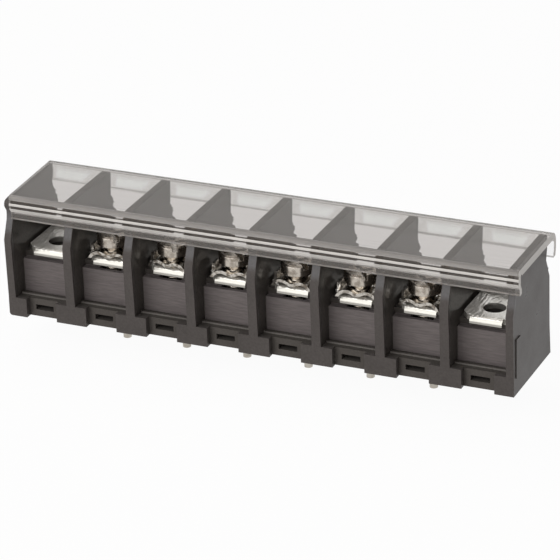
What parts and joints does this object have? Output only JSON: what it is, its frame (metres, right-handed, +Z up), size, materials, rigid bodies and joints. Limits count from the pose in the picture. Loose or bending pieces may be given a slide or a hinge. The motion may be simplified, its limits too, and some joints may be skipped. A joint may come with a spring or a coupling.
{
  "type": "barrier terminal strip",
  "caption": "Black barrier terminal strip with screw clamps between upright walls, round solder pins, end mounting holes and a clear slide-on cover.",
  "frame": {"origin": "on the underside of the base, half way along the strip, level with the pins", "axes": "+X along the strip to the right end, -Y towards the wires, +Z up from the board"},
  "size_m": [0.0779, 0.0157, 0.0238],
  "materials": {
    "moulding": "dark grey-black thermoplastic, softly glossy",
    "clear_cover": "clear extruded plastic",
    "nickel_plate": "bright nickel on stamped brass",
    "clamp_steel": "bright nickel on spring steel",
    "screw_steel": "bright nickel on steel",
    "tinned_pin": "tinned round pin"
  },
  "bodies": {
    "housing": {"housing": "moulding", "mounting_plate_left": "nickel_plate", "mounting_plate_right": "nickel_plate", "terminal_plate_1": "nickel_plate", "terminal_plate_2": "nickel_plate", "terminal_plate_3": "nickel_plate", "terminal_plate_4": "nickel_plate", "terminal_plate_5": "nickel_plate", "terminal_plate_6": "nickel_plate", "solder_pin_1": "tinned_pin", "solder_pin_2": "tinned_pin", "solder_pin_3": "tinned_pin", "solder_pin_4": "tinned_pin", "solder_pin_5": "tinned_pin", "solder_pin_6": "tinned_pin"},
    "cover": {"cover": "clear_cover"},
    "clamp_1": {"wire_clamp_1": "clamp_steel"},
    "screw_1": {"terminal_screw_1": "screw_steel"},
    "clamp_2": {"wire_clamp_2": "clamp_steel"},
    "screw_2": {"terminal_screw_2": "screw_steel"},
    "clamp_3": {"wire_clamp_3": "clamp_steel"},
    "screw_3": {"terminal_screw_3": "screw_steel"},
    "clamp_4": {"wire_clamp_4": "clamp_steel"},
    "screw_4": {"terminal_screw_4": "screw_steel"},
    "clamp_5": {"wire_clamp_5": "clamp_steel"},
    "screw_5": {"terminal_screw_5": "screw_steel"},
    "clamp_6": {"wire_clamp_6": "clamp_steel"},
    "screw_6": {"terminal_screw_6": "screw_steel"}
  },
  "joints": [
    {"name": "cover_slide", "type": "slide", "parent": "housing", "child": "cover", "axis": [1, 0, 0], "range_m": [-0.0785, 0.0785]},
    {"name": "clamp_lift_1", "type": "slide", "parent": "housing", "child": "clamp_1", "axis": [0, 0, 1], "range_m": [0, 0.0034]},
    {"name": "screw_turn_1", "type": "hinge", "parent": "clamp_1", "child": "screw_1", "pos_m": [-0.02375, -0.00235, 0.0123], "axis": [0, 0, 1], "range_deg": [0, 2450]},
    {"name": "clamp_lift_2", "type": "slide", "parent": "housing", "child": "clamp_2", "axis": [0, 0, 1], "range_m": [0, 0.0034]},
    {"name": "screw_turn_2", "type": "hinge", "parent": "clamp_2", "child": "screw_2", "pos_m": [-0.01425, -0.00235, 0.0123], "axis": [0, 0, 1], "range_deg": [0, 2450]},
    {"name": "clamp_lift_3", "type": "slide", "parent": "housing", "child": "clamp_3", "axis": [0, 0, 1], "range_m": [0, 0.0034]},
    {"name": "screw_turn_3", "type": "hinge", "parent": "clamp_3", "child": "screw_3", "pos_m": [-0.00475, -0.00235, 0.0123], "axis": [0, 0, 1], "range_deg": [0, 2450]},
    {"name": "clamp_lift_4", "type": "slide", "parent": "housing", "child": "clamp_4", "axis": [0, 0, 1], "range_m": [0, 0.0034]},
    {"name": "screw_turn_4", "type": "hinge", "parent": "clamp_4", "child": "screw_4", "pos_m": [0.00475, -0.00235, 0.0123], "axis": [0, 0, 1], "range_deg": [0, 2450]},
    {"name": "clamp_lift_5", "type": "slide", "parent": "housing", "child": "clamp_5", "axis": [0, 0, 1], "range_m": [0, 0.0034]},
    {"name": "screw_turn_5", "type": "hinge", "parent": "clamp_5", "child": "screw_5", "pos_m": [0.01425, -0.00235, 0.0123], "axis": [0, 0, 1], "range_deg": [0, 2450]},
    {"name": "clamp_lift_6", "type": "slide", "parent": "housing", "child": "clamp_6", "axis": [0, 0, 1], "range_m": [0, 0.0034]},
    {"name": "screw_turn_6", "type": "hinge", "parent": "clamp_6", "child": "screw_6", "pos_m": [0.02375, -0.00235, 0.0123], "axis": [0, 0, 1], "range_deg": [0, 2450]}
  ],
  "couplings": [
    {"joint": "screw_turn_1", "follows": "clamp_lift_1", "rad_per_m": 12566},
    {"joint": "screw_turn_2", "follows": "clamp_lift_2", "rad_per_m": 12566},
    {"joint": "screw_turn_3", "follows": "clamp_lift_3", "rad_per_m": 12566},
    {"joint": "screw_turn_4", "follows": "clamp_lift_4", "rad_per_m": 12566},
    {"joint": "screw_turn_5", "follows": "clamp_lift_5", "rad_per_m": 12566},
    {"joint": "screw_turn_6", "follows": "clamp_lift_6", "rad_per_m": 12566}
  ]
}
